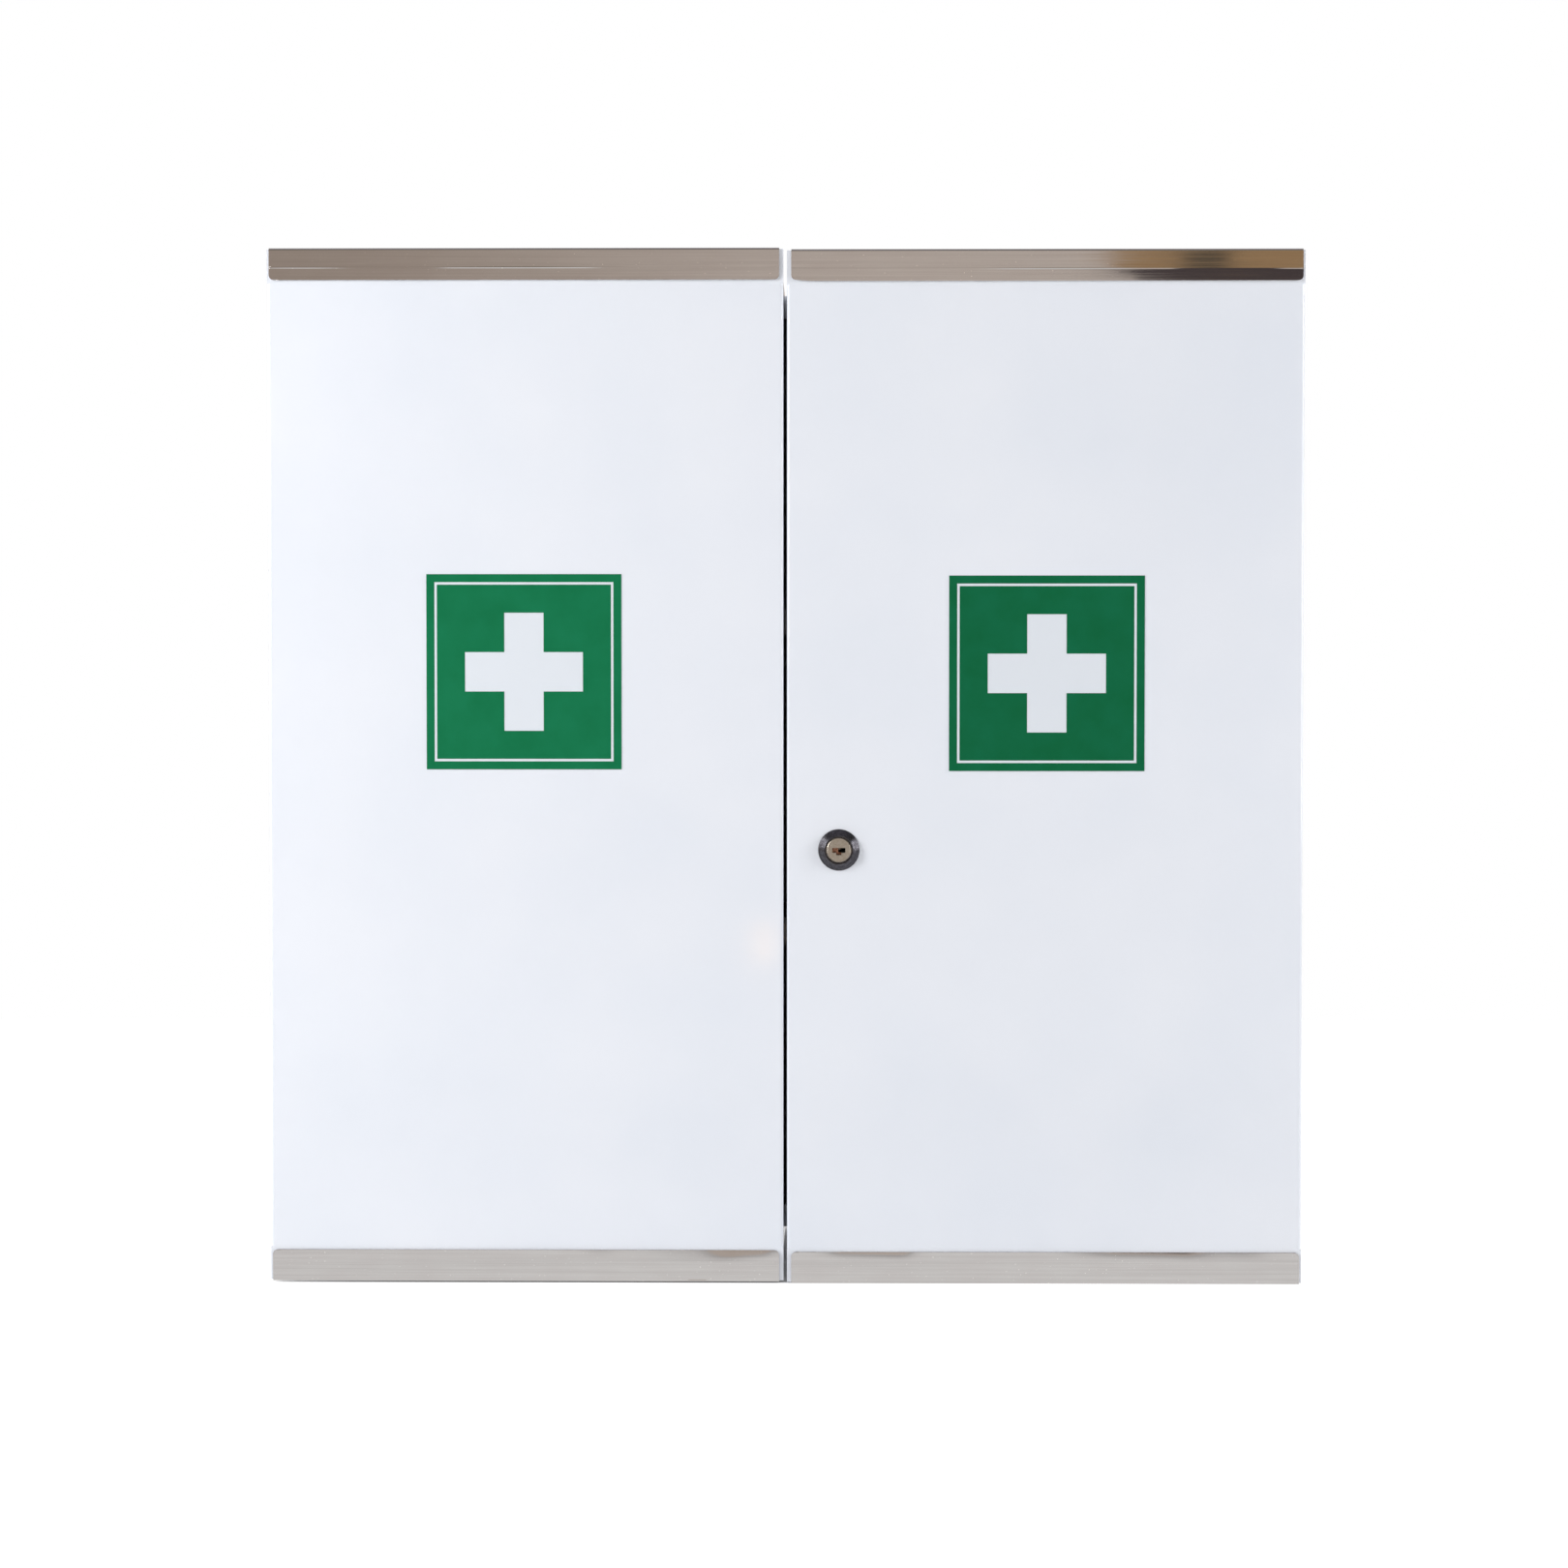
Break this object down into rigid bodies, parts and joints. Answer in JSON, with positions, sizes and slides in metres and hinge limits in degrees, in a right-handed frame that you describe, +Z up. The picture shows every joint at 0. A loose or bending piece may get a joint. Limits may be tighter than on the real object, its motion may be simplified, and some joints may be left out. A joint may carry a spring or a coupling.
{
  "type": "lockable medicine cabinet",
  "caption": "Steel wall cabinet with two deep white doors, steel grip strips, a green first-aid sign on each door, shelves inside and a cam lock.",
  "frame": {"origin": "centre of the wall hole pattern on the back face, which is the middle of the back", "axes": "+X to the right seen from the front, +Y into the wall, +Z up"},
  "size_m": [0.5446, 0.2034, 0.5308],
  "materials": {
    "painted_steel": "glossy white powder coat on folded steel sheet",
    "stainless_steel": "brushed stainless steel",
    "zinc_plated_steel": "bright zinc plate",
    "white_film": "self-adhesive vinyl film",
    "green_print": "satin printed ink on vinyl",
    "charcoal_zamak": "dark satin coated die casting",
    "nickel_plate": "satin nickel plate",
    "wafer_brass": "stamped brass",
    "buffer_rubber": "moulded rubber",
    "knob_plastic": "moulded plastic",
    "catch_plastic": "moulded plastic",
    "magnet_plate": "plated pole plates"
  },
  "bodies": {
    "carcase": {"carcase_shell": "painted_steel", "back_panel": "painted_steel", "upper_shelf": "painted_steel", "lower_shelf": "painted_steel", "shelf_rivets": "zinc_plated_steel", "right_keeper": "zinc_plated_steel", "left_keeper": "zinc_plated_steel", "keeper_rivets": "zinc_plated_steel", "catch_cases": "catch_plastic", "catch_magnets": "magnet_plate", "door_buffers": "buffer_rubber", "left_upper_frame_leaf": "zinc_plated_steel", "left_lower_frame_leaf": "zinc_plated_steel", "right_upper_frame_leaf": "zinc_plated_steel", "right_lower_frame_leaf": "zinc_plated_steel", "left_upper_hinge_pin": "zinc_plated_steel", "left_lower_hinge_pin": "zinc_plated_steel", "right_upper_hinge_pin": "zinc_plated_steel", "right_lower_hinge_pin": "zinc_plated_steel"},
    "left_door": {"left_door_skin": "painted_steel", "left_door_top": "painted_steel", "left_door_bottom": "painted_steel", "left_door_shelf_1": "painted_steel", "left_door_shelf_2": "painted_steel", "left_door_shelf_3": "painted_steel", "left_door_rails": "stainless_steel", "left_top_grip": "stainless_steel", "left_bottom_grip": "stainless_steel", "left_sign_film": "white_film", "left_sign_print": "green_print", "left_upper_door_leaf": "zinc_plated_steel", "left_lower_door_leaf": "zinc_plated_steel", "bolt_guide": "zinc_plated_steel"},
    "right_door": {"right_door_skin": "painted_steel", "right_door_top": "painted_steel", "right_door_bottom": "painted_steel", "right_door_shelf_1": "painted_steel", "right_door_shelf_2": "painted_steel", "right_door_shelf_3": "painted_steel", "right_door_rails": "stainless_steel", "right_top_grip": "stainless_steel", "right_bottom_grip": "stainless_steel", "right_sign_film": "white_film", "right_sign_print": "green_print", "right_upper_door_leaf": "zinc_plated_steel", "right_lower_door_leaf": "zinc_plated_steel", "lock_rosette": "charcoal_zamak", "lock_body": "nickel_plate", "lock_nut": "zinc_plated_steel"},
    "door_bolt": {"slide_bolt": "zinc_plated_steel", "bolt_knob": "knob_plastic"},
    "lock_core": {"lock_plug": "nickel_plate", "lock_wafers": "wafer_brass", "lock_cam": "zinc_plated_steel", "cam_screw": "zinc_plated_steel"}
  },
  "joints": [
    {"name": "left_door_hinge", "type": "hinge", "parent": "carcase", "child": "left_door", "pos_m": [-0.2688, -0.1312, 0], "axis": [0, 0, -1], "range_deg": [0, 175]},
    {"name": "right_door_hinge", "type": "hinge", "parent": "carcase", "child": "right_door", "pos_m": [0.2688, -0.1312, 0], "axis": [0, 0, 1], "range_deg": [0, 175]},
    {"name": "lock_turn", "type": "hinge", "parent": "right_door", "child": "lock_core", "pos_m": [0.0275, -0.2, -0.04257], "axis": [0, 1, 0], "range_deg": [0, 90]},
    {"name": "bolt_slide", "type": "slide", "parent": "left_door", "child": "door_bolt", "axis": [0, 0, -1], "range_m": [0, 0.013]}
  ]
}
